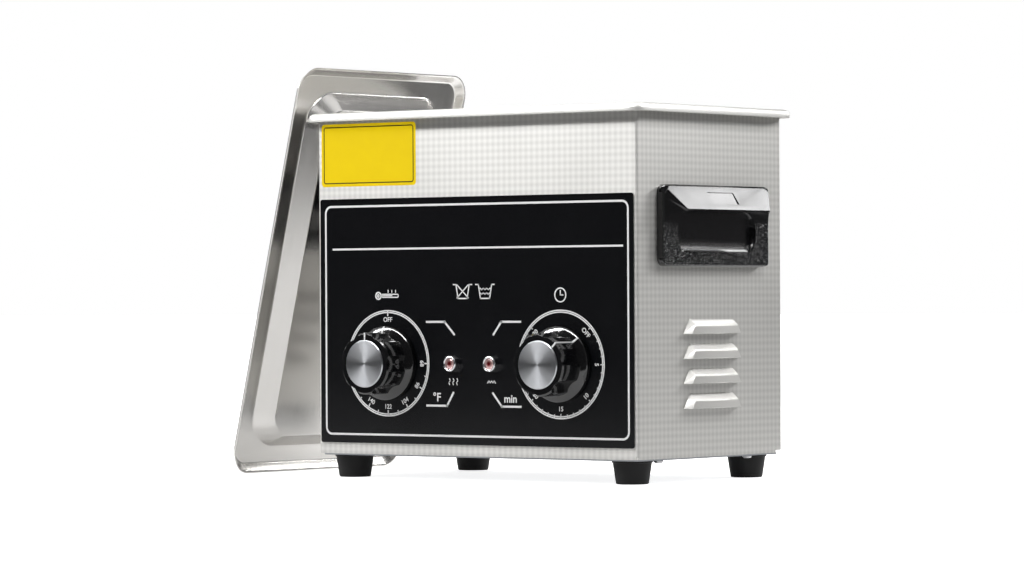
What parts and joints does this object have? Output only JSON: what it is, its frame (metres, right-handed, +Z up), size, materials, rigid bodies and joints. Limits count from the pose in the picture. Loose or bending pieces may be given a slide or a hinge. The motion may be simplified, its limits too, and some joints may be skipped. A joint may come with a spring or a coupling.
{
  "type": "ultrasonic cleaner",
  "caption": "Bench ultrasonic cleaner: steel tank in a sheet housing on rubber feet, with temperature and timer knobs, lamps, side handles, louvres and a lift-off lid.",
  "frame": {"origin": "on the standing surface, under the middle of the housing's footprint", "axes": "+Z up, +X to the right seen from the front, -Y towards the control panel's side; the lid stands on the -X side"},
  "size_m": [0.3376, 0.1876, 0.26],
  "materials": {
    "stainless_sheet": "stainless sheet with a fine pressed check pattern",
    "stainless_drawn": "deep-drawn stainless steel, satin inside and bright on its rim",
    "stainless_lid": "pressed stainless steel with a polished flange",
    "zinc_plate": "zinc-plated steel",
    "panel_black": "black printed polycarbonate overlay, satin",
    "knob_black": "black phenolic, polished",
    "spun_aluminium": "spun-finish aluminium",
    "handle_black": "black ABS, moulded with a fine grain",
    "foot_rubber": "black rubber",
    "gasket_rubber": "grey rubber strip",
    "lamp_chrome": "chromed brass",
    "lamp_red": "red lamp lens",
    "screw_steel": "nickel-plated steel",
    "shaft_brass": "turned brass",
    "control_case": "moulded control case",
    "copper_tube": "copper bulb and capillary",
    "horn_aluminium": "turned aluminium",
    "ceramic_ring": "piezo ceramic",
    "back_mass_steel": "turned steel",
    "heater_silicone": "silicone heater pad",
    "board_green": "glass-epoxy circuit board",
    "nylon_white": "nylon",
    "core_iron": "ferrite core and winding",
    "capacitor_blue": "sleeved capacitor",
    "inlet_black": "black moulded inlet"
  },
  "bodies": {
    "cleaner": {"housing": "stainless_sheet", "rear_panel": "stainless_sheet", "base_plate": "zinc_plate", "tank": "stainless_drawn", "tank_gasket": "gasket_rubber", "front_panel": "panel_black", "thermostat_body": "control_case", "thermostat_bulb": "copper_tube", "timer_body": "control_case", "control_screws": "screw_steel", "heating_lamp_bezel": "lamp_chrome", "heating_lamp_lens": "lamp_red", "cleaning_lamp_bezel": "lamp_chrome", "cleaning_lamp_lens": "lamp_red", "lamp_nuts": "screw_steel", "left_handle": "handle_black", "right_handle": "handle_black", "handle_screws": "screw_steel", "front_left_foot": "foot_rubber", "front_right_foot": "foot_rubber", "rear_left_foot": "foot_rubber", "rear_right_foot": "foot_rubber", "foot_screws": "screw_steel", "foot_nuts": "screw_steel", "base_screws": "screw_steel", "rear_panel_screws": "screw_steel", "front_heater_pad": "heater_silicone", "rear_heater_pad": "heater_silicone", "driver_board": "board_green", "board_standoffs": "nylon_white", "driver_transformer": "core_iron", "driver_heatsink": "horn_aluminium", "driver_capacitors": "capacitor_blue", "power_inlet": "inlet_black", "inlet_pins": "screw_steel", "inlet_screws": "screw_steel", "left_transducer_horn": "horn_aluminium", "left_transducer_ceramics": "ceramic_ring", "left_transducer_electrode": "shaft_brass", "left_transducer_back_mass": "back_mass_steel", "left_transducer_bolt": "screw_steel", "right_transducer_horn": "horn_aluminium", "right_transducer_ceramics": "ceramic_ring", "right_transducer_electrode": "shaft_brass", "right_transducer_back_mass": "back_mass_steel", "right_transducer_bolt": "screw_steel"},
    "temperature_control": {"temperature_knob": "knob_black", "temperature_knob_cap": "spun_aluminium", "thermostat_shaft": "shaft_brass"},
    "timer_control": {"timer_knob": "knob_black", "timer_knob_cap": "spun_aluminium", "timer_shaft": "shaft_brass"},
    "lid": {"lid_pan": "stainless_lid", "lid_handle": "handle_black", "lid_handle_screws": "screw_steel"}
  },
  "joints": [
    {"name": "temperature_turn", "type": "hinge", "parent": "cleaner", "child": "temperature_control", "pos_m": [-0.0678, -0.0764, 0.0723], "axis": [0, 1, 0], "range_deg": [0, 270]},
    {"name": "timer_turn", "type": "hinge", "parent": "cleaner", "child": "timer_control", "pos_m": [0.0678, -0.0764, 0.0723], "axis": [0, 1, 0], "range_deg": [0, 270]},
    {"name": "lid_lift", "type": "slide", "parent": "cleaner", "child": "lid", "axis": [0, 0, 1], "range_m": [0, 0.25]}
  ]
}
